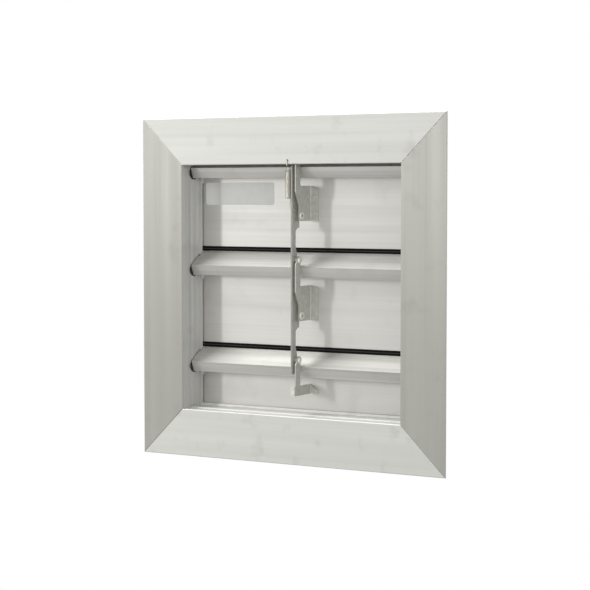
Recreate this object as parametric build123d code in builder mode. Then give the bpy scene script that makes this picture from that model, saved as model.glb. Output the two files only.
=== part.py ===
"""Square damper: a mitred flange frame with three hinged blades, one tie bar and a closing spring.

X runs across the opening, Y into its depth and Z up.  The origin is the centre of the opening,
in the plane of the flange's back face.
"""
import os

from build123d import *

os.makedirs("parts", exist_ok=True)

# Frame
opening = 305.0            # clear width and height between the flange's inner edges
flange_width = 58.5
flange_thickness = 2.0
edge_break = 0.8           # bevel along the flange's inner and outer front edges
mitre_gap = 0.1            # between mitred members
mitre_bevel = 0.5          # groove along each mitre
wall_thickness = 2.0
wall_depth = 62.0          # sleeve behind the flange's back face
head_pocket = 26.0         # rise of the head wall above the flange's inner edge
band_start = 15.0          # depth at which the sleeve wall steps inward
band_rise = 1.5
lip_front = 36.5           # depth of the stop lip's front face
lip_thickness = 2.0
lip_rise = 3.0
return_height = 18.5       # the head's return behind the top blade's upper edge
return_gap = 1.9           # between that edge and the return

# Frame corners
angle_leg = 28.0
angle_thickness = 2.0
angle_width = 12.0
angle_front = 47.0
rivet_reach = 16.8         # a corner rivet from the angle's corner
rivet_radius = 1.6
rivet_head_radius = 3.2
rivet_head_height = 1.2
head_taper = 30            # slope of rivet and pin heads, in degrees
rivet_clearance = 0.05

# Blades
blade_count = 3
first_pivot_drop = 9.1     # first pivot below the opening's top edge
last_pivot_rise = 53.1     # last pivot above the opening's bottom edge
pivot_depth = 22.0
nose_drop = 6.8            # underside of the rail below the pivot
heel_forward = 2.4         # front end of that underside
crease_forward = 5.6
crease_rise = 0.6
brow_forward = 7.4         # front edge of the rail, where its slope begins
brow_rise = 5.8
rail_rise = 22.9           # the rail's top edge above the pivot
boss_radius = 4.9          # round the pin inside the rail
flat_offset = 18.5         # front face of the blade's flat behind the pivot
plate_thickness = 1.6
side_gap = 1.0
bottom_gap = 1.2
notch_drop = 13.0          # the flat's corners are cut back from above to this far below the pivot

# Seals
seal_height = 6.0
seal_thickness = 4.0
seal_slot = 3.0
seal_gap = 0.2             # between a seal and the next rail's top edge
seal_groove = 0.7

# Pivots
pin_radius = 3.5
pin_grip = 25.0            # length of a pin inside the nose
pin_tail = 3.5             # length of a pin outside the frame
running_clearance = 0.06
fixed_clearance = 0.05
bushing_radius = 5.6
bushing_flange_radius = 8.3
bushing_flange = 1.2
bushing_tail = 1.0
end_play = 0.3

# Brackets, measured from the pivot
bracket_x = 7.7
bracket_thickness = 1.6
leg_width = 10.0
leg_slant = 3.3            # fall of the leg's slanted top
bend_radius = 0.8          # inside the fold
arm_front = 19.0
arm_gap = 0.7              # between the arm's back edge and the rail
arm_foot = 24.0
plate_top = 16.7
plate_bottom = 59.3
plate_front = 11.0
taper_foot = 41.0
short_bottom = 28.5
short_slant = 8.4
short_front = 21.0
tab_width = 4.7
eyelet_forward = 5.1
eyelet_drop = 53.1
eyelet_bore = 2.0
eyelet_wall = 1.0
eyelet_flange_radius = 5.0
eyelet_flange = 1.0
eyelet_taper = 20
eyelet_roll_radius = 4.2
eyelet_roll = 0.8

# Tie bar and link pins, measured from the pivot
link_forward = 10.5
link_rise = 14.5
link_radius = 2.5
link_head_radius = 3.8
link_head = 1.5
link_tail_radius = 3.4
link_tail = 0.6
ear_radius = 5.0
spacer_radius = 4.0
link_play = 0.3
spacer_length = 2.9
bar_thickness = 2.0
bar_front = 19.8
bar_width = 8.5
bar_foot = 2.0
bar_bevel_drop = 2.5       # start of the bar's bevelled top below the flange's inner edge
gusset_rise = 16.0
gusset_drop = 4.0
tab_start = 24.0
tab_full = 41.0
tab_foot = 67.5
tab_back = 2.6
tab_step = 4.0
hook_hole_radius = 2.0
hook_hole_forward = 15.6
hook_hole_drop = 41.9

# Spring
spring_x = -2.0
spring_depth = 4.0
spring_radius = 3.0        # to the middle of the wire
spring_wire = 1.0
spring_coils = 18          # rings along the spring
spring_top_drop = 6.0      # top coil below the flange's inner edge
spring_length = 36.0
anchor_rise = 4.5          # anchor hole above the flange's inner edge
anchor_radius = 1.5
hook_bend = 1.2

# Places worked out from the sizes above
half = opening / 2
first_pivot = half - first_pivot_drop
blade_pitch = (opening - first_pivot_drop - last_pivot_rise) / (blade_count - 1)
pivots = [first_pivot - blade_pitch * i for i in range(blade_count)]
places = ["top", "middle", "bottom"]
band_face = half - band_rise
lip_face = band_face - lip_rise
lip_back = lip_front + lip_thickness
wall_face = half + wall_thickness
head_wall = half + head_pocket
head_top = head_wall + wall_thickness
flat_back = flat_offset + plate_thickness
flat_half = half - side_gap
nose_half = band_face - bushing_flange - end_play
rail_half = lip_face - side_gap
seal_bottom = blade_pitch - rail_rise - seal_gap
sealed_drop = seal_bottom - seal_height + seal_slot
bottom_drop = pivots[-1] + half - bottom_gap
bracket_back = bracket_x + bracket_thickness
bar_right = bracket_x - spacer_length - link_play
bar_left = bar_right - bar_thickness
bar_back = bar_front - bar_width
angle_middle = angle_front + angle_width / 2
rising = Plane(origin=(0, 0, 0), z_dir=(-1, 0, 1))
falling = Plane(origin=(0, 0, 0), z_dir=(1, 0, 1))


def save(builder, name):
    builder.part.label = name
    export_step(builder.part, f"parts/{name}.step")


def across(x, z):
    """Plane square to X through a pivot: its own x is the depth and its own y is up."""
    return Plane(origin=(x, pivot_depth, z), x_dir=(0, 1, 0), z_dir=(1, 0, 0))


def along_x(x, depth, z):
    return Plane(origin=(x, depth, z), x_dir=(0, 1, 0), z_dir=(1, 0, 0))


# Wall, band and lip of a frame member: (outward from the opening's edge, depth)
wall_points = [(0, 0), (wall_thickness, 0), (wall_thickness, wall_depth), (0, wall_depth)]
band_points = [
    (0, band_start),
    (0, lip_back),
    (-band_rise - lip_rise, lip_back),
    (-band_rise - lip_rise, lip_front),
    (-band_rise, lip_front),
    (-band_rise, band_start),
]
flange_points = [
    (0, 0),
    (0, edge_break - flange_thickness),
    (edge_break, -flange_thickness),
    (flange_width - edge_break, -flange_thickness),
    (flange_width, edge_break - flange_thickness),
    (flange_width, 0),
]
overrun = half + flange_width

# Left jamb: the flange is mitred at both ends, the sleeve runs up to the head wall
jamb_foot = Plane(origin=(-half, 0, -overrun))
with BuildPart() as frame_jamb_left:
    with BuildSketch(jamb_foot):
        with BuildLine():
            Polyline([(-u, y) for u, y in flange_points], close=True)
        make_face()
    extrude(amount=2 * overrun)
    split(bisect_by=falling.offset(-mitre_gap / 2), keep=Keep.BOTTOM)
    with BuildSketch(jamb_foot):
        with BuildLine():
            Polyline([(-u, y) for u, y in wall_points], close=True)
        make_face()
    extrude(amount=overrun + head_top)
    with BuildSketch(jamb_foot):
        with BuildLine():
            Polyline([(-u, y) for u, y in band_points], close=True)
        make_face()
    extrude(amount=overrun + head_wall)
    split(bisect_by=rising.offset(mitre_gap / 2), keep=Keep.TOP)
    for pivot in pivots:
        with BuildSketch(along_x(-wall_face, pivot_depth, pivot)):
            Circle(bushing_radius + fixed_clearance)
        extrude(amount=wall_thickness + band_rise, mode=Mode.SUBTRACT)
    for z in (head_top - rivet_reach, -wall_face + rivet_reach):
        with BuildSketch(along_x(-wall_face, angle_middle, z)):
            Circle(rivet_radius + rivet_clearance)
        extrude(amount=wall_thickness, mode=Mode.SUBTRACT)
    front = frame_jamb_left.faces().sort_by(Axis.Y)[0]
    chamfer(front.edges().filter_by(Axis.Z, reverse=True), mitre_bevel)
save(frame_jamb_left, "frame_jamb_left")

with BuildPart() as frame_jamb_right:
    mirror(frame_jamb_left.part, about=Plane.YZ)
save(frame_jamb_right, "frame_jamb_right")

# Sill: the same section as the jambs, mitred at both ends
with BuildPart() as frame_sill:
    for points in (flange_points, wall_points, band_points):
        with BuildSketch(Plane(origin=(-overrun, 0, -half), x_dir=(0, 1, 0), z_dir=(1, 0, 0))):
            with BuildLine():
                Polyline([(y, -u) for u, y in points], close=True)
            make_face()
        extrude(amount=2 * overrun)
    split(bisect_by=rising.offset(-mitre_gap / 2), keep=Keep.BOTTOM)
    split(bisect_by=falling.offset(-mitre_gap / 2), keep=Keep.BOTTOM)
    with BuildSketch(Plane.XY.offset(-wall_face)):
        with Locations((wall_face - rivet_reach, angle_middle), (rivet_reach - wall_face, angle_middle)):
            Circle(rivet_radius + rivet_clearance)
    extrude(amount=wall_thickness, mode=Mode.SUBTRACT)
    front = frame_sill.faces().sort_by(Axis.Y)[0]
    chamfer(front.edges().filter_by(Axis.X, reverse=True), mitre_bevel)
save(frame_sill, "frame_sill")

# Head: mitred flange, and a sleeve wall set high so that the top rail can swing under it
return_front = pivot_depth + flat_back + return_gap
head_points = [
    (0, head_wall),
    (return_front, head_wall),
    (return_front, head_wall - return_height),
    (return_front + wall_thickness, head_wall - return_height),
    (return_front + wall_thickness, head_wall),
    (wall_depth, head_wall),
    (wall_depth, head_top),
    (0, head_top),
]
with BuildPart() as frame_head:
    with BuildSketch(Plane(origin=(-overrun, 0, half), x_dir=(0, 1, 0), z_dir=(1, 0, 0))):
        with BuildLine():
            Polyline([(y, u) for u, y in flange_points], close=True)
        make_face()
    extrude(amount=2 * overrun)
    split(bisect_by=rising.offset(mitre_gap / 2), keep=Keep.TOP)
    split(bisect_by=falling.offset(mitre_gap / 2), keep=Keep.TOP)
    front = frame_head.faces().sort_by(Axis.Y)[0]
    chamfer(front.edges().filter_by(Axis.X, reverse=True), mitre_bevel)
    with BuildSketch(Plane(origin=(-half, 0, 0), x_dir=(0, 1, 0), z_dir=(1, 0, 0))):
        with BuildLine():
            Polyline(head_points, close=True)
        make_face()
    extrude(amount=opening)
    with BuildSketch(Plane.XY.offset(head_wall)):
        with Locations((wall_face - rivet_reach, angle_middle), (rivet_reach - wall_face, angle_middle)):
            Circle(rivet_radius + rivet_clearance)
    extrude(amount=wall_thickness, mode=Mode.SUBTRACT)
    with BuildSketch(Plane.XZ):
        with Locations((0, half + anchor_rise)):
            Circle(anchor_radius)
    extrude(amount=flange_thickness, mode=Mode.SUBTRACT)
save(frame_head, "frame_head")

# Corner angles outside the sleeve
corners = {
    "top_left": (-1, 1, head_top),
    "top_right": (1, 1, head_top),
    "bottom_left": (-1, -1, -wall_face),
    "bottom_right": (1, -1, -wall_face),
}
for corner, (side, way, z) in corners.items():
    x = side * wall_face
    with BuildPart() as corner_angle:
        with BuildSketch(Plane.XZ.offset(-angle_front)):
            with BuildLine():
                Polyline(
                    (x, z),
                    (x, z - way * angle_leg),
                    (x + side * angle_thickness, z - way * angle_leg),
                    (x + side * angle_thickness, z + way * angle_thickness),
                    (x - side * angle_leg, z + way * angle_thickness),
                    (x - side * angle_leg, z),
                    close=True,
                )
            make_face()
        extrude(amount=-angle_width)
        with BuildSketch(along_x(x, angle_middle, z - way * rivet_reach)):
            Circle(rivet_radius + rivet_clearance)
        extrude(amount=side * angle_thickness, mode=Mode.SUBTRACT)
        with BuildSketch(Plane.XY.offset(z)):
            with Locations((x - side * rivet_reach, angle_middle)):
                Circle(rivet_radius + rivet_clearance)
        extrude(amount=way * angle_thickness, mode=Mode.SUBTRACT)
    save(corner_angle, f"corner_angle_{corner}")

with BuildPart() as corner_rivets:
    for side, way, z in corners.values():
        x = side * wall_face
        with BuildSketch(along_x(x - side * wall_thickness, angle_middle, z - way * rivet_reach)):
            Circle(rivet_radius)
        extrude(amount=side * (wall_thickness + angle_thickness))
        with BuildSketch(along_x(x + side * angle_thickness, angle_middle, z - way * rivet_reach)):
            Circle(rivet_head_radius)
        extrude(amount=side * rivet_head_height, taper=head_taper)
        with BuildSketch(Plane.XY.offset(z - way * wall_thickness)):
            with Locations((x - side * rivet_reach, angle_middle)):
                Circle(rivet_radius)
        extrude(amount=way * (wall_thickness + angle_thickness))
        with BuildSketch(Plane.XY.offset(z + way * angle_thickness)):
            with Locations((x - side * rivet_reach, angle_middle)):
                Circle(rivet_head_radius)
        extrude(amount=way * rivet_head_height, taper=head_taper)
save(corner_rivets, "corner_rivets")

# Flanged bushings in the jambs
bushing_reach = band_rise + wall_thickness + bushing_tail
for side, hand in ((-1, "left"), (1, "right")):
    with BuildPart() as bushings:
        for pivot in pivots:
            with BuildSketch(across(side * (band_face - bushing_flange), pivot)):
                Circle(bushing_flange_radius)
            extrude(amount=side * bushing_flange)
            with BuildSketch(across(side * band_face, pivot)):
                Circle(bushing_radius)
            extrude(amount=side * bushing_reach)
            with BuildSketch(across(side * (band_face - bushing_flange), pivot)):
                Circle(pin_radius + running_clearance)
            extrude(amount=side * (bushing_flange + bushing_reach), mode=Mode.SUBTRACT)
    save(bushings, f"bushings_{hand}")

# Rail section: a ledge under the seal, a slope, and a front that leans back in two facets
seal_front = flat_offset + plate_thickness / 2 - seal_thickness / 2
rail_points = [
    (flat_back, rail_rise),
    (seal_front, rail_rise),
    (-brow_forward, brow_rise),
    (-crease_forward, crease_rise),
    (-heel_forward, -nose_drop),
]
nose_bore = pin_radius + fixed_clearance
nose_keep = brow_forward + side_gap
with BuildSketch() as hollow:
    with BuildLine():
        Polyline(*rail_points, (flat_back, -nose_drop), close=True)
    make_face()
    offset(amount=-plate_thickness, kind=Kind.INTERSECTION)
leg_middle = bracket_back + leg_width / 2
long_rivets = [plate_top + leg_width / 2, plate_bottom - leg_width / 2]
short_rivets = [(plate_top + short_bottom) / 2]

for place, pivot in zip(places, pivots):
    last = place == places[-1]
    drop = bottom_drop if last else sealed_drop
    bottom = short_bottom if last else plate_bottom
    slant = short_slant if last else leg_slant
    rivet_drops = short_rivets if last else long_rivets

    # Blade: one hollow extrusion, notched at its ends to pass the jamb lips
    with BuildPart() as blade:
        with BuildSketch(across(0, pivot)):
            with BuildLine():
                Polyline(
                    *rail_points,
                    (flat_offset, -nose_drop),
                    (flat_offset, -drop),
                    (flat_back, -drop),
                    close=True,
                )
            make_face()
            add(hollow.sketch, mode=Mode.SUBTRACT)
            Circle(boss_radius)
            Circle(nose_bore, mode=Mode.SUBTRACT)
        extrude(amount=flat_half, both=True)
        for side in (-1, 1):
            with BuildSketch(across(side * rail_half, pivot)):
                with BuildLine():
                    Polyline(
                        (nose_keep, -notch_drop),
                        (flat_back + side_gap, -notch_drop),
                        (flat_back + side_gap, rail_rise + side_gap),
                        (nose_keep, rail_rise + side_gap),
                        close=True,
                    )
                make_face()
            extrude(amount=side * (flat_half - rail_half), mode=Mode.SUBTRACT)
            with BuildSketch(across(side * nose_half, pivot)):
                with BuildLine():
                    Polyline(
                        (-nose_keep, -nose_keep),
                        (nose_keep, -nose_keep),
                        (nose_keep, rail_rise),
                        (-nose_keep, rail_rise),
                        close=True,
                    )
                make_face()
            extrude(amount=side * (flat_half - nose_half), mode=Mode.SUBTRACT)
        with BuildSketch(Plane.XZ.offset(-pivot_depth - flat_offset)):
            with Locations([(leg_middle, pivot - d) for d in rivet_drops]):
                Circle(rivet_radius + rivet_clearance)
        extrude(amount=-plate_thickness, mode=Mode.SUBTRACT)
    save(blade, f"blade_{place}")

    if not last:
        # Edge seal: a slotted strip pushed onto the blade's lower edge
        seal_middle = -seal_bottom + seal_height / 2
        with BuildPart() as seal:
            with BuildSketch(across(0, pivot)):
                with BuildLine():
                    Polyline(
                        (seal_front, -seal_bottom),
                        (seal_front + seal_thickness, -seal_bottom),
                        (seal_front + seal_thickness, -seal_bottom + seal_height),
                        (flat_back, -seal_bottom + seal_height),
                        (flat_back, -drop),
                        (flat_offset, -drop),
                        (flat_offset, -seal_bottom + seal_height),
                        (seal_front, -seal_bottom + seal_height),
                        (seal_front, seal_middle + seal_groove),
                        (seal_front + seal_groove, seal_middle),
                        (seal_front, seal_middle - seal_groove),
                        close=True,
                    )
                make_face()
            extrude(amount=flat_half, both=True)
        save(seal, f"seal_{place}")

    with BuildPart() as pivot_pins:
        for side in (-1, 1):
            with BuildSketch(across(side * (nose_half - pin_grip), pivot)):
                Circle(pin_radius)
            extrude(amount=side * (pin_grip + wall_face - nose_half + pin_tail))
    save(pivot_pins, f"pivot_pins_{place}")

    # Bracket: an upright plate in front of the nose with a leg folded flat against the blade
    arm_back = -brow_forward - arm_gap
    with BuildPart() as bracket:
        with BuildSketch(across(bracket_x, pivot)):
            with BuildLine():
                Polyline(
                    (arm_back, -plate_top),
                    (arm_back, link_rise),
                    (-link_forward - ear_radius, link_rise),
                    (-arm_front, link_rise - ear_radius),
                    (-arm_front, -plate_top if last else -arm_foot),
                    (-short_front if last else -plate_front, -plate_top if last else -taper_foot),
                    (-short_front if last else -plate_front, -bottom),
                    (flat_offset, -bottom),
                    (flat_offset, -plate_top),
                    close=True,
                )
            make_face()
            with Locations((-link_forward, link_rise)):
                Circle(ear_radius)
                Circle(link_radius + fixed_clearance, mode=Mode.SUBTRACT)
            if not last:
                with Locations((-eyelet_forward, -eyelet_drop)):
                    Circle(eyelet_bore + eyelet_wall + fixed_clearance, mode=Mode.SUBTRACT)
        extrude(amount=bracket_thickness)
        with BuildSketch(Plane.XZ.offset(-pivot_depth - flat_offset)):
            with BuildLine():
                Polyline(
                    (bracket_x, pivot - bottom),
                    (bracket_back + leg_width, pivot - bottom),
                    (bracket_back + leg_width, pivot - plate_top - slant),
                    (bracket_back, pivot - plate_top),
                    (bracket_x, pivot - plate_top),
                    close=True,
                )
            make_face()
            with Locations([(leg_middle, pivot - d) for d in rivet_drops]):
                Circle(rivet_radius + rivet_clearance, mode=Mode.SUBTRACT)
        extrude(amount=bracket_thickness)
        upright = bracket.edges().filter_by(Axis.Z).group_by(Axis.Y)
        fillet(upright[-1].sort_by(Axis.X)[0], bend_radius + bracket_thickness)
        upright = bracket.edges().filter_by(Axis.Z).filter_by_position(Axis.X, bracket_back, bracket_back)
        fillet(upright.sort_by(Axis.Y)[-1], bend_radius)
        if last:
            with BuildSketch(Plane.XZ.offset(-pivot_depth + short_front)):
                with BuildLine():
                    Polyline(
                        (bracket_x - tab_width, pivot - bottom),
                        (bracket_x, pivot - bottom),
                        (bracket_x, pivot - plate_top),
                        (bracket_x - tab_width, pivot - plate_top),
                        close=True,
                    )
                make_face()
            extrude(amount=-bracket_thickness)
    save(bracket, f"bracket_{place}")

    with BuildPart() as bracket_rivets:
        with BuildSketch(Plane.XZ.offset(bracket_thickness - pivot_depth - flat_offset)):
            with Locations([(leg_middle, pivot - d) for d in rivet_drops]):
                Circle(rivet_radius)
        extrude(amount=-(bracket_thickness + plate_thickness))
        with BuildSketch(Plane.XZ.offset(-pivot_depth - flat_back)):
            with Locations([(leg_middle, pivot - d) for d in rivet_drops]):
                Circle(rivet_head_radius)
        extrude(amount=-rivet_head_height, taper=head_taper)
    save(bracket_rivets, f"bracket_rivets_{place}")

    if not last:
        # Eyelet in the bracket's lower corner: a short tube with a flange and a rolled tail
        eyelet_axis = (pivot_depth - eyelet_forward, pivot - eyelet_drop)
        with BuildPart() as eyelet:
            with BuildSketch(along_x(bracket_x - eyelet_roll, *eyelet_axis)):
                Circle(eyelet_roll_radius)
            extrude(amount=eyelet_roll)
            with BuildSketch(along_x(bracket_x, *eyelet_axis)):
                Circle(eyelet_bore + eyelet_wall)
            extrude(amount=bracket_thickness)
            with BuildSketch(along_x(bracket_back, *eyelet_axis)):
                Circle(eyelet_flange_radius)
            extrude(amount=eyelet_flange, taper=eyelet_taper)
            with BuildSketch(along_x(bracket_x - eyelet_roll, *eyelet_axis)):
                Circle(eyelet_bore)
            extrude(amount=eyelet_roll + bracket_thickness + eyelet_flange, mode=Mode.SUBTRACT)
        save(eyelet, f"eyelet_{place}")

    # Link pin with a domed head at the bracket and a flat tail at the tie bar
    link_axis = (pivot_depth - link_forward, pivot + link_rise)
    with BuildPart() as link_pin:
        with BuildSketch(along_x(bar_left - link_play, *link_axis)):
            Circle(link_radius)
        extrude(amount=bracket_back - bar_left + link_play)
        with BuildSketch(along_x(bracket_back, *link_axis)):
            Circle(link_head_radius)
        extrude(amount=link_head, taper=head_taper)
        with BuildSketch(along_x(bar_left - link_play, *link_axis)):
            Circle(link_tail_radius)
        extrude(amount=-link_tail)
    save(link_pin, f"link_pin_{place}")

    with BuildPart() as link_spacer:
        with BuildSketch(along_x(bracket_x - spacer_length, *link_axis)):
            Circle(spacer_radius)
            Circle(link_radius + fixed_clearance, mode=Mode.SUBTRACT)
        extrude(amount=spacer_length)
    save(link_spacer, f"link_spacer_{place}")

# Tie bar: one flat blank with an ear at each link pin and a wide tab beside each long bracket
bevel_z = half - bar_bevel_drop
with BuildPart() as tie_bar:
    with BuildSketch(across(bar_left, 0)):
        with BuildLine():
            Polyline(
                (-bar_front, pivots[-1] - bar_foot),
                (-bar_back, pivots[-1] - bar_foot),
                (-bar_back, bevel_z),
                (-link_forward, first_pivot + link_rise + ear_radius),
                (-link_forward - ear_radius, first_pivot + link_rise),
                (-bar_front, bevel_z),
                close=True,
            )
        make_face()
        for place, pivot in zip(places, pivots):
            link_z = pivot + link_rise
            gusset_top = min(link_z + gusset_rise, first_pivot + link_rise)
            with BuildLine():
                Polyline(
                    (-bar_back, gusset_top),
                    (ear_radius - link_forward, link_z),
                    (-bar_back, link_z - gusset_drop),
                    close=True,
                )
            make_face()
            with Locations((-link_forward, link_z)):
                Circle(ear_radius)
            if place != places[-1]:
                with BuildLine():
                    Polyline(
                        (-bar_back, pivot - tab_start),
                        (-tab_back, pivot - tab_full),
                        (-tab_back, pivot - tab_foot),
                        (-tab_back - tab_step, pivot - tab_foot),
                        (-bar_back, pivot - tab_foot - tab_step),
                        close=True,
                    )
                make_face()
        with Locations([(-link_forward, pivot + link_rise) for pivot in pivots]):
            Circle(link_radius + running_clearance, mode=Mode.SUBTRACT)
        with Locations((-hook_hole_forward, first_pivot - hook_hole_drop)):
            Circle(hook_hole_radius, mode=Mode.SUBTRACT)
    extrude(amount=bar_thickness)
save(tie_bar, "tie_bar")

# Closing spring: close-wound coils, a hook to the flange and a hook into the tie bar
coil_pitch = spring_length / spring_coils
spring_top = half - spring_top_drop
spring_foot = spring_top - coil_pitch * spring_coils
spring_inner = spring_radius - spring_wire / 2
anchor_z = half + anchor_rise
hook_z = first_pivot - hook_hole_drop
hook_depth = pivot_depth - hook_hole_forward
hook_front = -flange_thickness - spring_wire
with BuildPart() as spring:
    with BuildSketch(Plane(origin=(spring_x, spring_depth, 0), x_dir=(1, 0, 0), z_dir=(0, -1, 0))):
        with BuildLine():
            for i in range(spring_coils):
                z = spring_foot + coil_pitch * i
                Polyline(
                    (spring_radius, z),
                    (spring_radius + spring_wire / 2, z + coil_pitch / 2),
                    (spring_radius, z + coil_pitch),
                )
            Polyline(
                (spring_radius, spring_top),
                (spring_inner, spring_top),
                (spring_inner, spring_foot),
                (spring_radius, spring_foot),
            )
        make_face()
    revolve(axis=Axis((spring_x, spring_depth, 0), (0, 0, 1)))
    with BuildLine():
        FilletPolyline(
            (spring_x + spring_radius, spring_depth, spring_top - spring_wire / 2),
            (spring_x + spring_radius, spring_depth, spring_top + spring_wire * 2),
            (0, hook_front, half - spring_wire * 2),
            (0, hook_front, anchor_z),
            (0, spring_depth / 2, anchor_z),
            radius=hook_bend,
        )
    with BuildSketch(Plane(origin=(spring_x + spring_radius, spring_depth, spring_top - spring_wire / 2))):
        Circle(spring_wire / 2)
    sweep()
    with BuildLine():
        FilletPolyline(
            (spring_x, spring_depth + spring_radius, spring_foot + spring_wire / 2),
            (spring_x, spring_depth + spring_radius, spring_foot - spring_wire * 2),
            (spring_x, hook_depth, hook_z),
            (bar_right + spring_wire, hook_depth, hook_z),
            radius=hook_bend,
        )
    with BuildSketch(Plane(origin=(spring_x, spring_depth + spring_radius, spring_foot + spring_wire / 2))):
        Circle(spring_wire / 2)
    sweep()
save(spring, "spring")
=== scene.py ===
# %% [markdown]
# # A square damper, dressed from its solids
# The damper is a flat mitred frame with three swinging blades behind it, one tie bar that moves
# them together, and a small spring that pulls them shut.  All the sheet metal and extrusions are
# rigid and already have their true shapes as solids, so they are loaded as they are and only get
# finishes.  Two things are too fine for the solids and are modelled here: the wound wire of the
# spring and the thin label stuck on the top blade.

# %% Load the solids
from math import cos, pi, radians, sin

import bpy
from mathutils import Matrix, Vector


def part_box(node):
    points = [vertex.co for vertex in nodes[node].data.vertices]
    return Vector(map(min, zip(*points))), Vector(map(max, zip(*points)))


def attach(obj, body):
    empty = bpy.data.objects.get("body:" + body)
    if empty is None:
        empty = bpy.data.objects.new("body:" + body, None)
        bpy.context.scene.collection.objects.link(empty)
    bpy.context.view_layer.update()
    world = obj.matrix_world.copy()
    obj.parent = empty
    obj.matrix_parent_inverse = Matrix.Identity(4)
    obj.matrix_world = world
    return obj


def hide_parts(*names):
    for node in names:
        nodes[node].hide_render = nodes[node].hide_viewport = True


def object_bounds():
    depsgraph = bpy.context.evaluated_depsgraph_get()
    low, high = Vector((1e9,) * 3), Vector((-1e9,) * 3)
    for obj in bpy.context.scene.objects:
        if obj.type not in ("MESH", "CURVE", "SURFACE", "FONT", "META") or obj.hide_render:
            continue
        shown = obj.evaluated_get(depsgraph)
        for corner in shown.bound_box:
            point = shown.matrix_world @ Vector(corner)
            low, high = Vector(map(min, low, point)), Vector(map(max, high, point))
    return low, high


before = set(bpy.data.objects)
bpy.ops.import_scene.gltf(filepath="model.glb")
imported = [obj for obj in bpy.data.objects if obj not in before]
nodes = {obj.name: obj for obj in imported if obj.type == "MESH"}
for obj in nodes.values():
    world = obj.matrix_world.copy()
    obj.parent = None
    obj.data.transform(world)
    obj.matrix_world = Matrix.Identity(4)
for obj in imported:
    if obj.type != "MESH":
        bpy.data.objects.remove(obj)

cad_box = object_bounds()
print("solids loaded:", len(nodes), "size in mm:", [round(v * 1000, 1) for v in cad_box[1] - cad_box[0]])

# %% [markdown]
# ## Colours and nodes
# Finishes are written as sRGB hex values, the way a paint chart gives them.  Blender's shaders work
# in linear light, so one function converts them.  A second function adds any node with its settings
# and its links in one line, so that a finish reads as a short list of steps.  A third starts a
# material and hands over the place on the piece, in the piece's own coordinates, from which every
# pattern is drawn: so a pattern stays on a blade when the blade swings.

# %% Colour and node helpers
def linear(code):
    """An sRGB hex value as linear red, green, blue and alpha."""
    parts = [int(code[i:i + 2], 16) / 255 for i in (1, 3, 5)]
    return [p / 12.92 if p <= 0.04045 else ((p + 0.055) / 1.055) ** 2.4 for p in parts] + [1.0]


def add(tree, kind, settings, inputs):
    """Add one node; an input that is another node's output is linked, any other value is set."""
    node = tree.nodes.new(kind)
    for name, value in settings.items():
        setattr(node, name, value)
    for name, value in inputs.items():
        if isinstance(value, bpy.types.NodeSocket):
            tree.links.new(value, node.inputs[name])
        else:
            node.inputs[name].default_value = value
    return node


def new_finish(name):
    """A new material, its node tree, its shader and the place on the piece that it is read at."""
    material = bpy.data.materials.new(name)
    material.use_nodes = True
    tree = material.node_tree
    place = add(tree, "ShaderNodeTexCoord", {}, {}).outputs["Object"]
    return material, tree, tree.nodes["Principled BSDF"], place


print("mid grey #808080 in linear light:", [round(v, 3) for v in linear("#808080")[:3]])

# %% [markdown]
# ## Die lines
# The frame and the blades are extrusions straight from the die, which leaves faint lines along the
# length of each bar.  An image of brushed metal could be used, but die lines are simply noise that
# is drawn out along one axis, so a stretched noise gives them in any place and at a known spacing.

# %% Noise drawn out along a bar
MM = 0.001
RUN_MM = 420.0


def drawn_noise(tree, place, axis, spacing_mm, detail):
    """A noise of the given spacing that a die has drawn out along axis 0 (x) or 2 (z)."""
    scale = [1 / (spacing_mm * MM)] * 3
    scale[axis] = 1 / (RUN_MM * MM)
    drawn = add(tree, "ShaderNodeMapping", {}, {"Vector": place, "Scale": scale})
    noise = add(
        tree, "ShaderNodeTexNoise", {}, {"Vector": drawn.outputs[0], "Scale": 1.0, "Detail": detail}
    )
    return noise.outputs[0]


print("die lines run for about", RUN_MM, "mm")

# %% [markdown]
# ## Mill-finish extruded aluminium
# With no anodising, the metal is a soft grey mirror: dull enough to have no sharp reflections, with
# its die lines, some broader bands and a few cloudy smudges from handling.  Real die lines are about
# 0.2 mm apart and would vanish at this picture size, so they are drawn 1.6 mm apart.
#
# The front of a bar and what lies behind it differ a little in tone.  They could be two materials,
# but the solids have one slot each, so the tones change over at one depth, the seam.  On the frame,
# all that lies behind the flange is painted paler than the flange: painted light that lifts the
# shade inside the frame.  On a blade the seam parts the rail from the flat.
#
# The lines also steer the light.  Where they stand upright, a lamp's reflection is drawn out sideways
# and stays short in height.

# %% Extruded aluminium
LINE_MM = 1.6
BAND_MM = 14.0
SMUDGE_MM = 30.0
SEAM_BLEND_MM = 0.5
LINE_SHARE = 0.55
TONE_SPAN = (0.52, 1.05)
GLOSS_SPAN = (0.4, 1.2)
GLOSS_SWING = (-0.05, 0.06)
SMUDGE_SPAN = (0.58, 0.74)
SMUDGE_TONE = "#8D8C84"


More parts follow.
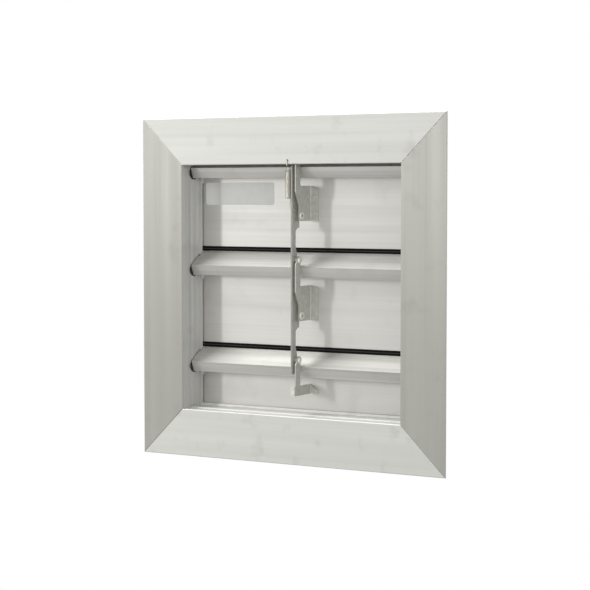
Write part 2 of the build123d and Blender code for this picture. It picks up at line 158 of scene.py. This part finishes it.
def extruded_aluminium(name, axis, seam_mm, front, inside, roughness, smudge, spread):
    """Satin grey metal with die lines along axis 0 (x) or 2 (z), soft bands and faint smudges.

    The front and the inside each have a pale and a dull tone.  Spread says how far the lines draw a
    reflection out.
    """
    material, tree, shader, place = new_finish(name)

    # bands and lines together choose between the pale and the dull tone
    lines = drawn_noise(tree, place, axis, LINE_MM, 3.0)
    bands = drawn_noise(tree, place, axis, BAND_MM, 2.0)
    both = add(
        tree, "ShaderNodeMath", {"operation": "MULTIPLY_ADD"}, {0: lines, 1: LINE_SHARE, 2: bands}
    )
    share = add(
        tree, "ShaderNodeMapRange", {},
        {"Value": both.outputs[0], "From Min": TONE_SPAN[0], "From Max": TONE_SPAN[1]},
    )

    # the tones of the front give way to those of the inside at the seam; on the frame the inside tones are
    # painted paler, as painted light lifting the shade inside it
    depth = add(tree, "ShaderNodeSeparateXYZ", {}, {"Vector": place})
    blend_from = (seam_mm - SEAM_BLEND_MM) * MM
    blend_to = (seam_mm + SEAM_BLEND_MM) * MM
    behind = add(
        tree, "ShaderNodeMapRange", {},
        {"Value": depth.outputs["Y"], "From Min": blend_from, "From Max": blend_to},
    )
    pale, dull = [
        add(
            tree, "ShaderNodeMix", {"data_type": "RGBA"},
            {0: behind.outputs[0], 6: linear(before), 7: linear(after)},
        )
        for before, after in zip(front, inside)
    ]
    tone = add(
        tree, "ShaderNodeMix", {"data_type": "RGBA"},
        {0: share.outputs[0], 6: pale.outputs[2], 7: dull.outputs[2]},
    )

    # cloudy smudges where hands and stacking have dulled the metal
    clouds = add(
        tree, "ShaderNodeTexNoise", {}, {"Vector": place, "Scale": 1 / (SMUDGE_MM * MM), "Detail": 4.0}
    )
    marks = add(
        tree, "ShaderNodeMapRange", {},
        {
            "Value": clouds.outputs[0], "From Min": SMUDGE_SPAN[0], "From Max": SMUDGE_SPAN[1],
            "To Max": smudge,
        },
    )
    dirty = add(
        tree, "ShaderNodeMix", {"data_type": "RGBA"},
        {0: marks.outputs[0], 6: tone.outputs[2], 7: linear(SMUDGE_TONE)},
    )
    tree.links.new(dirty.outputs[2], shader.inputs["Base Color"])

    # the lines scatter light a little differently and can just be felt with a nail
    gloss = add(
        tree, "ShaderNodeMapRange", {},
        {
            "Value": both.outputs[0], "From Min": GLOSS_SPAN[0], "From Max": GLOSS_SPAN[1],
            "To Min": roughness + GLOSS_SWING[0], "To Max": roughness + GLOSS_SWING[1],
        },
    )
    tree.links.new(gloss.outputs[0], shader.inputs["Roughness"])
    relief = add(tree, "ShaderNodeBump", {}, {"Height": lines, "Strength": 0.12, "Distance": 0.05 * MM})
    tree.links.new(relief.outputs[0], shader.inputs["Normal"])

    # the lines throw a reflection sideways, so it is drawn out across them
    crosswise = add(tree, "ShaderNodeCombineXYZ", {}, {2 - axis: 1.0})
    tree.links.new(crosswise.outputs[0], shader.inputs["Tangent"])
    shader.inputs["Anisotropic"].default_value = spread

    # bare metal grows a hazy oxide film, which scatters a part of the light
    shader.inputs["Metallic"].default_value = 0.55
    return material


print("die lines, bands and smudges in mm:", LINE_MM, BAND_MM, SMUDGE_MM)

# %% [markdown]
# ## One finish for each kind of bar
# All bars are the same alloy, but they were handled differently and lie in different directions.
# One material could serve them all.  Four variants of it follow the real bars more closely: both
# jambs are bright at the top and fall off downwards, because their lines stand upright, and on the
# duller head and sill the tone stays nearly even.  The jambs are also painted darker than the head
# and sill, as painted shade, and the frame's inside is painted paler, as painted light.

# %% Finishes of the bars
ACROSS = 0
UPRIGHT = 2
FLANGE_SEAM_MM = 0.0
RAIL_SEAM_MM = 39.5
# Head: the eye sees a cool, even grey, with lines running across; behind the flange it is painted paler,
# as painted light in the shade under the head.
head_metal = extruded_aluminium(
    "mill_aluminium_head", ACROSS, FLANGE_SEAM_MM, front=("#C7C7C3", "#C1C1BC"),
    inside=("#D2D2CE", "#CACAC6"), roughness=0.58, smudge=0.25, spread=0.0,
)
# Sill: its inside faces up and is painted the palest of all, as painted light that lifts the shade in its
# channel.
sill_metal = extruded_aluminium(
    "mill_aluminium_sill", ACROSS, FLANGE_SEAM_MM, front=("#CACAC6", "#C4C4BF"),
    inside=("#DEDEDA", "#D6D6D2"), roughness=0.58, smudge=0.25, spread=0.0,
)
# Jambs: the same metal with upright lines, which falls off lower down; its tones are painted darker and
# warmer than the head's, as painted shade for how those lines turn the light, and behind the flange they
# are painted paler, as painted light in the jamb's shade.
jamb_metal = extruded_aluminium(
    "mill_aluminium_jamb", UPRIGHT, FLANGE_SEAM_MM, front=("#B4B4AD", "#AEAEA7"),
    inside=("#C8C8C4", "#B0B0AC"), roughness=0.50, smudge=0.20, spread=0.95,
)
# Blades: a fresher, whiter extrusion, with almost no smudges.  The flat is even, and the rail in
# front of it shows stronger lines, because its hollow section drags more on the die.
blade_metal = extruded_aluminium(
    "mill_aluminium_blade", ACROSS, RAIL_SEAM_MM, front=("#CECDC8", "#B0AFAA"),
    inside=("#CAC9C4", "#C2C1BC"), roughness=0.48, smudge=0.12, spread=0.0,
)
print("extruded aluminium:", [m.name for m in (head_metal, sill_metal, jamb_metal, blade_metal)])

# %% [markdown]
# ## Galvanised sheet steel
# The folded brackets, the tie bar and the pins are zinc-coated steel.  Zinc freezes in flat
# crystals, the spangle, so the sheet is a darker grey than the aluminium and breaks up into dull
# patches a few millimetres wide.  A Voronoi cell pattern gives every crystal its own tone.  The
# shear leaves the steel bare along the edges, which could be a second material; here it is told
# apart by its place between the two faces of the sheet, which works without touching the mesh.

# %% Galvanised steel
SPANGLE_MM = 4.0
COATING_MM = 0.05


def galvanised_steel(name, pale, dull, edge, sheet):
    """Zinc-coated steel whose crystals vary between a pale and a dull grey, with bare sheared edges.

    The sheet stands upright along y and z, and is given by its middle and its thickness in mm.
    """
    material, tree, shader, place = new_finish(name)
    crystals = add(tree, "ShaderNodeTexVoronoi", {}, {"Vector": place, "Scale": 1 / (SPANGLE_MM * MM)})
    tone = add(tree, "ShaderNodeRGBToBW", {}, {"Color": crystals.outputs["Color"]})
    colour = add(
        tree, "ShaderNodeMix", {"data_type": "RGBA"},
        {0: tone.outputs[0], 6: linear(pale), 7: linear(dull)},
    )
    gloss = add(
        tree, "ShaderNodeMapRange", {}, {"Value": tone.outputs[0], "To Min": 0.45, "To Max": 0.60}
    )
    # one between the two coated faces, zero on them
    middle_mm, thickness_mm = sheet
    across = add(tree, "ShaderNodeSeparateXYZ", {}, {"Vector": place})
    sheared = add(
        tree, "ShaderNodeMath", {"operation": "COMPARE"},
        {0: across.outputs["X"], 1: middle_mm * MM, 2: (thickness_mm / 2 - COATING_MM) * MM},
    )
    colour = add(
        tree, "ShaderNodeMix", {"data_type": "RGBA"},
        {0: sheared.outputs[0], 6: colour.outputs[2], 7: linear(edge)},
    )
    tree.links.new(colour.outputs[2], shader.inputs["Base Color"])
    tree.links.new(gloss.outputs[0], shader.inputs["Roughness"])
    # white rust has made the zinc partly chalky, so not all of the light is mirrored
    shader.inputs["Metallic"].default_value = 0.7
    return material


BRACKET_SHEET = (8.5, 1.6)
BAR_STRIP = (3.5, 2.0)
# Brackets: dull grey sheet, a good deal darker than the blades behind it.
galvanised = galvanised_steel("galvanised_sheet_steel", "#CECEC8", "#BEBEB8", "#A8A8A2", BRACKET_SHEET)
# Tie bar, spacers and pivot pins: steel of the same kind, a shade duller, with a darker edge.
strip = galvanised_steel("galvanised_strip_steel", "#C2C2BC", "#B4B4AE", "#8E8E88", BAR_STRIP)
# Link pins: turned heads that are rubbed bright all over, so the edge is as pale as the rest.
rubbed = galvanised_steel("rubbed_zinc_steel", "#F2F1EC", "#DEDDD8", "#F2F1EC", BAR_STRIP)
print("zinc finishes:", [m.name for m in (galvanised, strip, rubbed)], "spangle in mm:", SPANGLE_MM)

# %% [markdown]
# ## Set aluminium rivets, eyelets and corner angles
# Small pressed parts have a slightly mottled surface, and they shine where the setting tool has
# burnished them: the rolled rims of the eyelets do, the flat rivet heads and the corner angles stay
# as dull as the sheet around them.  A fine noise in tone and roughness is enough at this size.

# %% Pressed aluminium
MOTTLE_MM = 1.5


def pressed_aluminium(name, pale, dull):
    """Small pressed metal whose mottle varies between a pale and a dull grey."""
    material, tree, shader, place = new_finish(name)
    mottle = add(
        tree, "ShaderNodeTexNoise", {}, {"Vector": place, "Scale": 1 / (MOTTLE_MM * MM), "Detail": 3.0}
    )
    colour = add(
        tree, "ShaderNodeMix", {"data_type": "RGBA"},
        {0: mottle.outputs[0], 6: linear(pale), 7: linear(dull)},
    )
    gloss = add(
        tree, "ShaderNodeMapRange", {}, {"Value": mottle.outputs[0], "To Min": 0.28, "To Max": 0.45}
    )
    tree.links.new(colour.outputs[2], shader.inputs["Base Color"])
    tree.links.new(gloss.outputs[0], shader.inputs["Roughness"])
    shader.inputs["Metallic"].default_value = 0.7
    return material


# Eyelets: a bright rolled ring round a dark hole.
burnished = pressed_aluminium("burnished_eyelet_aluminium", "#F2F1EC", "#DEDDD8")
# Rivets and corner angles: hardly told apart from the sheet they hold.
pressed = pressed_aluminium("pressed_aluminium", "#CCCBC6", "#BAB9B4")
print("pressed finishes:", burnished.name, pressed.name, "mottle in mm:", MOTTLE_MM)

# %% [markdown]
# ## Drawn spring wire
# Spring wire is pulled through a die and left with a thin, slightly brown film of drawing soap and
# oil.  It is a smooth metal, warmer than zinc, whose tone drifts a little where the film is thicker.
# A plain metal could do at this size, but a soft noise keeps the turns from looking all alike.

# %% Spring wire
SOAP_MM = 3.0
# Spring: the eye sees bright, slightly brown rings with dark gaps between them.
wire_finish, tree, shader, place = new_finish("drawn_spring_wire")
film = add(tree, "ShaderNodeTexNoise", {}, {"Vector": place, "Scale": 1 / (SOAP_MM * MM), "Detail": 2.0})
colour = add(
    tree, "ShaderNodeMix", {"data_type": "RGBA"},
    {0: film.outputs[0], 6: linear("#DAD6CB"), 7: linear("#BEBAAE")},
)
gloss = add(
    tree, "ShaderNodeMapRange", {}, {"Value": film.outputs[0], "To Min": 0.26, "To Max": 0.38}
)
tree.links.new(colour.outputs[2], shader.inputs["Base Color"])
tree.links.new(gloss.outputs[0], shader.inputs["Roughness"])
shader.inputs["Metallic"].default_value = 1.0
print("spring wire finish:", wire_finish.name, "soap film in mm:", SOAP_MM)

# %% [markdown]
# ## Black rubber
# The seals are extruded rubber: nearly black, matt, with a dusty bloom.  A groove runs along the
# middle of each, under a millimetre wide, so it is not modelled: the light its lips catch is painted
# as a paler line at that height, a painted highlight.
# A fine grain goes into the bump, because a perfectly smooth black would read as a hole.

# %% Rubber
BLOOM_MM = 12.0
RIB_HIGHLIGHT_HALF_MM = 0.45
GRAIN_MM = 0.8
# Seals: a black band with one thin, dark grey painted highlight along it.
rubber, tree, shader, place = new_finish("extruded_epdm_rubber")
bloom = add(tree, "ShaderNodeTexNoise", {}, {"Vector": place, "Scale": 1 / (BLOOM_MM * MM), "Detail": 4.0})
colour = add(
    tree, "ShaderNodeMix", {"data_type": "RGBA"},
    {0: bloom.outputs[0], 6: linear("#060606"), 7: linear("#101010")},
)
height = add(tree, "ShaderNodeSeparateXYZ", {}, {"Vector": place})
# painted highlight: a paler band at the middle height of each seal
rib_highlight_bands = [
    add(
        tree, "ShaderNodeMath", {"operation": "COMPARE"},
        {0: height.outputs["Z"], 1: sum(corner.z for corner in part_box(seal)) / 2, 2: RIB_HIGHLIGHT_HALF_MM * MM},
    )
    for seal in ("seal_top", "seal_middle")
]
painted_rib_highlight = add(
    tree, "ShaderNodeMath", {"operation": "ADD"},
    {0: rib_highlight_bands[0].outputs[0], 1: rib_highlight_bands[1].outputs[0]},
)
colour = add(
    tree, "ShaderNodeMix", {"data_type": "RGBA"},
    {0: painted_rib_highlight.outputs[0], 6: colour.outputs[2], 7: linear("#484846")},
)
grain = add(tree, "ShaderNodeTexNoise", {}, {"Vector": place, "Scale": 1 / (GRAIN_MM * MM)})
relief = add(
    tree, "ShaderNodeBump", {}, {"Height": grain.outputs[0], "Strength": 0.2, "Distance": 0.05 * MM}
)
tree.links.new(colour.outputs[2], shader.inputs["Base Color"])
tree.links.new(relief.outputs[0], shader.inputs["Normal"])
shader.inputs["Roughness"].default_value = 0.7
shader.inputs["IOR"].default_value = 1.52
shader.inputs["Specular IOR Level"].default_value = 0.08
print("seal finish:", rubber.name, "painted highlight line in mm:", 2 * RIB_HIGHLIGHT_HALF_MM)

# %% [markdown]
# ## Black nylon
# The bushings are moulded nylon: as dark as the rubber, but with the finer, harder sheen of a
# moulding.  The same grain, a little weaker, gives the skin that the mould leaves.

# %% Nylon
# Bushings: small black rings with a soft highlight.
nylon, tree, shader, place = new_finish("moulded_black_nylon")
grain = add(tree, "ShaderNodeTexNoise", {}, {"Vector": place, "Scale": 1 / (GRAIN_MM * MM), "Detail": 3.0})
colour = add(
    tree, "ShaderNodeMix", {"data_type": "RGBA"},
    {0: grain.outputs[0], 6: linear("#0C0C0D"), 7: linear("#1A1A1B")},
)
relief = add(
    tree, "ShaderNodeBump", {}, {"Height": grain.outputs[0], "Strength": 0.15, "Distance": 0.04 * MM}
)
tree.links.new(colour.outputs[2], shader.inputs["Base Color"])
tree.links.new(relief.outputs[0], shader.inputs["Normal"])
shader.inputs["Roughness"].default_value = 0.42
shader.inputs["IOR"].default_value = 1.53
print("bushing finish:", nylon.name, "grain in mm:", GRAIN_MM)

# %% [markdown]
# ## Give every solid its finish
# A solid's name begins with what it is, so one short list of beginnings is enough, and the first
# that fits is taken.  Only the material in the slot changes; the mesh of a solid stays as it was made.

# %% Assign the finishes
finishes = {
    "frame_head": head_metal,
    "frame_sill": sill_metal,
    "frame_jamb": jamb_metal,
    "blade_": blade_metal,
    "bracket_rivets": pressed,
    "bracket_": galvanised,
    "tie_bar": strip,
    "pivot_pins": strip,
    "link_pin": rubbed,
    "link_spacer": strip,
    "corner_": pressed,
    "eyelet_": burnished,
    "seal_": rubber,
    "bushings_": nylon,
    "spring": wire_finish,
}
for name, solid in nodes.items():
    finish = next(finishes[start] for start in finishes if name.startswith(start))
    for holder in solid.material_slots:
        holder.material = finish
print("finishes assigned to", len(nodes), "solids")

# %% [markdown]
# ## The label's film
# A plain film label sits at the left end of the top blade.  It is left blank: an unprinted film with
# a faint unevenness where the glue beneath is thicker.  The end beside the jamb lies in its shadow,
# and there it is painted whiter: painted light that lifts that shadow, so the tone changes along the
# label.

# %% Label film finish
GLUE_MM = 9.0
PAINTED_LIGHT_END = (-0.133, -0.119)
# Label: a pale grey patch with a satin sheen, painted a little whiter at its left end as painted light in
# the jamb's shadow.
label_film, tree, shader, place = new_finish("satin_label_film")
glue = add(tree, "ShaderNodeTexNoise", {}, {"Vector": place, "Scale": 1 / (GLUE_MM * MM), "Detail": 2.0})
colour = add(
    tree, "ShaderNodeMix", {"data_type": "RGBA"},
    {0: glue.outputs[0], 6: linear("#CCCCC8"), 7: linear("#C0C0BC")},
)
# painted light: the left end, in the jamb's shadow, is painted whiter
along = add(tree, "ShaderNodeSeparateXYZ", {}, {"Vector": place})
painted_light_fade = add(
    tree, "ShaderNodeMapRange", {},
    {"Value": along.outputs["X"], "From Min": PAINTED_LIGHT_END[0], "From Max": PAINTED_LIGHT_END[1]},
)
colour = add(
    tree, "ShaderNodeMix", {"data_type": "RGBA"},
    {0: painted_light_fade.outputs[0], 6: linear("#E4E4E0"), 7: colour.outputs[2]},
)
tree.links.new(colour.outputs[2], shader.inputs["Base Color"])
shader.inputs["Roughness"].default_value = 0.35
print("label film finish:", label_film.name, "glue in mm:", GLUE_MM)

# %% [markdown]
# ## The label's sheet
# The label could be painted into the blade's finish, but a real one has a thickness and a clean cut
# edge that catches light, so it is a thin sheet of its own: a plane with rounded corners, given a
# film's thickness, lying on the blade and riding with it.

# %% Label sheet
LABEL_SIZE = (0.100, 0.028)
LABEL_MIDDLE = (-0.0935, 0.1172)
LABEL_CORNER = 3.0 * MM
FILM = 0.15 * MM
# the bracket's leg lies on the flat of the blade, so its back gives the depth of that face
blade_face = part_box("bracket_top")[1].y
bpy.ops.object.select_all(action="DESELECT")
bpy.ops.mesh.primitive_plane_add(
    size=1, location=(LABEL_MIDDLE[0], blade_face - FILM, LABEL_MIDDLE[1]), rotation=(radians(90), 0, 0)
)
label = bpy.context.object
label.name = "blade_label"
label.scale = (*LABEL_SIZE, 1)
bpy.ops.object.transform_apply(location=True, rotation=True, scale=True)
bpy.ops.object.mode_set(mode="EDIT")
bpy.ops.mesh.select_all(action="SELECT")
bpy.ops.mesh.bevel(offset=LABEL_CORNER, segments=6, affect="VERTICES")
bpy.ops.object.mode_set(mode="OBJECT")
thick = label.modifiers.new("film", "SOLIDIFY")
thick.thickness = FILM
thick.offset = -1
bpy.ops.object.modifier_apply(modifier="film")
label.data.materials.append(label_film)
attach(label, "blade_top")
print("label faces:", len(label.data.polygons))

# %% [markdown]
# ## The closing spring
# The spring is a wound wire with a hook at each end.  The solid stands for it as a ribbed tube,
# which is enough for weight and place, but up close the eye looks for a wire that climbs round and
# round.  A Screw modifier does just that: it turns the wire's round section about the axis while
# lifting it.  The two open ends are closed with a face each.

# %% Spring coil
WIRE = 1.0 * MM
COIL_RADIUS = 3.0 * MM
COILS = 30
TURN_STEPS = 24
SPRING_AXIS = (-0.002, 0.004)
COIL_TOP = 0.1465
COIL_FOOT = 0.1105
coil_rise = (COIL_TOP - COIL_FOOT - WIRE) / COILS
bpy.ops.object.select_all(action="DESELECT")
bpy.ops.mesh.primitive_circle_add(
    vertices=10, radius=WIRE / 2, fill_type="NOTHING",
    location=(COIL_RADIUS, 0, COIL_FOOT + WIRE / 2), rotation=(radians(90), 0, 0),
)
spring = bpy.context.object
spring.name = "closing_spring"
bpy.ops.object.transform_apply(location=True, rotation=True, scale=True)
climb = spring.modifiers.new("wind", "SCREW")
climb.axis = "Z"
climb.angle = 2 * pi
climb.screw_offset = coil_rise
climb.iterations = COILS
climb.steps = TURN_STEPS
climb.render_steps = TURN_STEPS
bpy.ops.object.modifier_apply(modifier="wind")
bpy.ops.object.mode_set(mode="EDIT")
bpy.ops.mesh.select_all(action="SELECT")
bpy.ops.transform.translate(value=(*SPRING_AXIS, 0))
bpy.ops.mesh.select_all(action="DESELECT")
bpy.ops.mesh.select_non_manifold()
bpy.ops.mesh.edge_face_add()
bpy.ops.mesh.select_all(action="SELECT")
bpy.ops.mesh.normals_make_consistent(inside=False)
bpy.ops.object.mode_set(mode="OBJECT")
print("spring coils:", COILS, "rise per coil in mm:", round(coil_rise * 1000, 2))

# %% [markdown]
# ## The spring's hooks
# At each end the wire leaves the coil and bends into a hook, one through the hole in the flange and
# one through the hole in the tie bar.  Such bends could be spun piece by piece.  A path through a few
# points with the wire's round section along it is smoother, and it is easily moved to meet the holes.

# %% Spring hooks
MERGE = 0.01 * MM
hook_paths = {
    "flange_hook": [
        (0.0010, 0.0040, COIL_TOP - WIRE / 2),
        (0.0010, 0.0040, 0.1486),
        (0.0003, 0.0008, 0.1500),
        (0.0000, -0.0030, 0.1503),
        (0.0000, -0.0026, 0.1540),
        (0.0000, -0.0032, 0.1576),
        (0.0000, -0.0014, 0.1572),
        (0.0000, 0.0020, 0.1568),
    ],
    "bar_hook": [
        (0.0010, 0.0040, COIL_FOOT + WIRE / 2),
        (0.0008, 0.0052, 0.1088),
        (-0.0012, 0.0062, 0.1052),
        (-0.0014, 0.0064, 0.1004),
        (0.0018, 0.0064, 0.1014),
        (0.0056, 0.0064, 0.1018),
    ],
}
for name, points in hook_paths.items():
    bpy.ops.object.select_all(action="DESELECT")
    bpy.ops.curve.primitive_nurbs_path_add(radius=1, location=(0, 0, 0))
    hook = bpy.context.object
    hook.name = name
    line = hook.data.splines[0]
    line.points.add(len(points) - len(line.points))
    for knot, point in zip(line.points, points):
        knot.co = (*point, 1)
    line.order_u = 3
    line.use_endpoint_u = True
    line.resolution_u = 8
    hook.data.bevel_depth = WIRE / 2
    hook.data.bevel_resolution = 3
    hook.data.use_fill_caps = True
    bpy.ops.object.convert(target="MESH")
    bpy.ops.object.mode_set(mode="EDIT")
    bpy.ops.mesh.select_all(action="SELECT")
    bpy.ops.mesh.remove_doubles(threshold=MERGE)
    bpy.ops.mesh.normals_make_consistent(inside=False)
    bpy.ops.object.mode_set(mode="OBJECT")
    spring.select_set(True)
    bpy.context.view_layer.objects.active = spring
    bpy.ops.object.join()
bpy.ops.object.shade_smooth_by_angle(angle=radians(50))
spring.data.materials.clear()
spring.data.materials.append(wire_finish)
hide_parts("spring")
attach(spring, "frame")
print("spring faces:", len(spring.data.polygons))

# %% [markdown]
# ## Floor
# The damper is shown as a cut-out on white, hanging clear of the ground.  A plain pale floor lies
# well below it.  A backdrop could be swept up behind it, but then it would stand in the way of other
# views, so the floor just fades to the white of the background towards its rim: no horizon cuts
# through the picture, and its middle stays a real surface that takes the damper's shadow.

# %% Floor sheet
FLOOR_DROP = 0.42
FLOOR_RADIUS = 3.0
floor_height = cad_box[0].z - FLOOR_DROP
bpy.ops.object.select_all(action="DESELECT")
bpy.ops.mesh.primitive_circle_add(vertices=96, radius=FLOOR_RADIUS, fill_type="NGON", location=(0, 0, 0))
floor = bpy.context.object
floor.name = "floor"
bpy.ops.object.mode_set(mode="EDIT")
bpy.ops.mesh.select_all(action="SELECT")
bpy.ops.transform.translate(value=(0, 0, floor_height))
bpy.ops.object.mode_set(mode="OBJECT")
print("floor height in mm:", round(floor_height * 1000))

# %% [markdown]
# ## Floor finish
# The fade must not light the damper, or its underside would glow.  So the white is given only to
# rays that the eye follows, straight or in a mirror, and all other light meets a matt grey sheet.

# %% Floor finish, white towards the rim
FADE_FROM = 0.75
FADE_TO = 1.12


def seen_or_mirrored(tree):
    """One for a ray that reaches the eye straight, in a mirror or through glass, and zero for others."""
    ray = add(tree, "ShaderNodeLightPath", {}, {})
    mirrored = add(
        tree, "ShaderNodeMath", {"operation": "MAXIMUM"},
        {0: ray.outputs["Is Glossy Ray"], 1: ray.outputs["Is Transmission Ray"]},
    )
    seen = add(
        tree, "ShaderNodeMath", {"operation": "MAXIMUM"},
        {0: ray.outputs["Is Camera Ray"], 1: mirrored.outputs[0]},
    )
    return seen.outputs[0]


# Floor: a matt pale grey near the damper, and nothing but white further out.
floor_paint, tree, shader, place = new_finish("pale_matt_floor")
shader.inputs["Base Color"].default_value = linear("#B2B2B0")
shader.inputs["Roughness"].default_value = 0.9
flat = add(tree, "ShaderNodeVectorMath", {"operation": "MULTIPLY"}, {0: place, 1: (1, 1, 0)})
reach = add(tree, "ShaderNodeVectorMath", {"operation": "LENGTH"}, {0: flat.outputs[0]})
fade = add(
    tree, "ShaderNodeMapRange", {"interpolation_type": "SMOOTHSTEP"},
    {"Value": reach.outputs["Value"], "From Min": FADE_FROM, "From Max": FADE_TO},
)
white_share = add(
    tree, "ShaderNodeMath", {"operation": "MULTIPLY"},
    {0: seen_or_mirrored(tree), 1: fade.outputs[0]},
)
white = add(tree, "ShaderNodeEmission", {}, {"Color": linear("#FFFFFF"), "Strength": 1.0})
blended = add(
    tree, "ShaderNodeMixShader", {},
    {0: white_share.outputs[0], 1: shader.outputs[0], 2: white.outputs[0]},
)
tree.links.new(blended.outputs[0], tree.nodes["Material Output"].inputs["Surface"])
floor.data.materials.append(floor_paint)
print("floor fades to white between", FADE_FROM, "and", FADE_TO, "m")

# %% [markdown]
# ## Background
# A white room lights the damper softly from all sides.  The eye and the metal's reflections see it
# as plain white; for matt light it is a little weaker, so that the lamps can shape the damper.

# %% World
SKY_LEVEL = 0.9
world = bpy.data.worlds.new("white_studio")
bpy.context.scene.world = world
world.use_nodes = True
tree = world.node_tree
level = add(
    tree, "ShaderNodeMapRange", {}, {"Value": seen_or_mirrored(tree), "To Min": SKY_LEVEL, "To Max": 1.0}
)
tree.links.new(level.outputs[0], tree.nodes["Background"].inputs["Strength"])
tree.nodes["Background"].inputs["Color"].default_value = linear("#FFFFFF")
print("sky level for matt surfaces:", SKY_LEVEL)

# %% [markdown]
# ## Lamps
# The picture's main light stands at the front left, only a little above the damper: the left jamb
# throws a sharp shadow on the blades, and the brackets throw theirs to the right.  A sun would give
# that too, but not the fall-off down the jambs, so the key lamp is a narrow upright strip.  A broader
# lamp high at the left lights the slopes of the blade rails, which would be dull without it, and a
# weak, broad one at the right keeps the shaded walls readable.

# %% Key, top and fill lamps
def soft_lamp(name, spot, width, height, watts):
    """An area lamp that faces the middle of the damper."""
    bpy.ops.object.light_add(type="AREA", location=spot)
    lamp = bpy.context.object
    lamp.name = name
    lamp.data.shape = "RECTANGLE"
    lamp.data.size = width
    lamp.data.size_y = height
    lamp.data.energy = watts
    lamp.rotation_euler = (-Vector(spot)).to_track_quat("-Z", "Y").to_euler()
    return lamp


lamps = [
    soft_lamp("key_lamp", (-1.36, -1.57, 0.28), width=0.15, height=0.5, watts=7.0),
    soft_lamp("top_lamp", (-0.75, -0.37, 1.47), width=0.5, height=0.5, watts=19.5),
    soft_lamp("fill_lamp", (1.9, -0.9, 0.3), width=1.0, height=1.0, watts=6.0),
]
print("lamps:", [(lamp.name, lamp.data.energy) for lamp in lamps])

# %% [markdown]
# ## Camera
# The view was fitted to the eight corners of the flange in the picture: from the right, almost at
# the damper's own height, through a long lens.  The camera could be turned by hand until it looks
# right; with two angles, a distance and a point to look at, each can be corrected by itself.

# %% Camera
AZIMUTH = radians(30.066)
ELEVATION = radians(3.274)
DISTANCE = 2.10202
TARGET = Vector((0.01086, -0.002, -0.00462))
SENSOR_MM = 36.0
LENS_MM = 106.53
outward = Vector((sin(AZIMUTH) * cos(ELEVATION), -cos(AZIMUTH) * cos(ELEVATION), sin(ELEVATION)))
bpy.ops.object.camera_add(location=TARGET + DISTANCE * outward)
camera = bpy.context.object
camera.rotation_euler = (-outward).to_track_quat("-Z", "Y").to_euler()
camera.data.sensor_width = SENSOR_MM
camera.data.lens = LENS_MM
bpy.context.scene.camera = camera
bpy.context.scene.view_settings.view_transform = "Standard"
print("camera at", [round(v, 3) for v in camera.location])
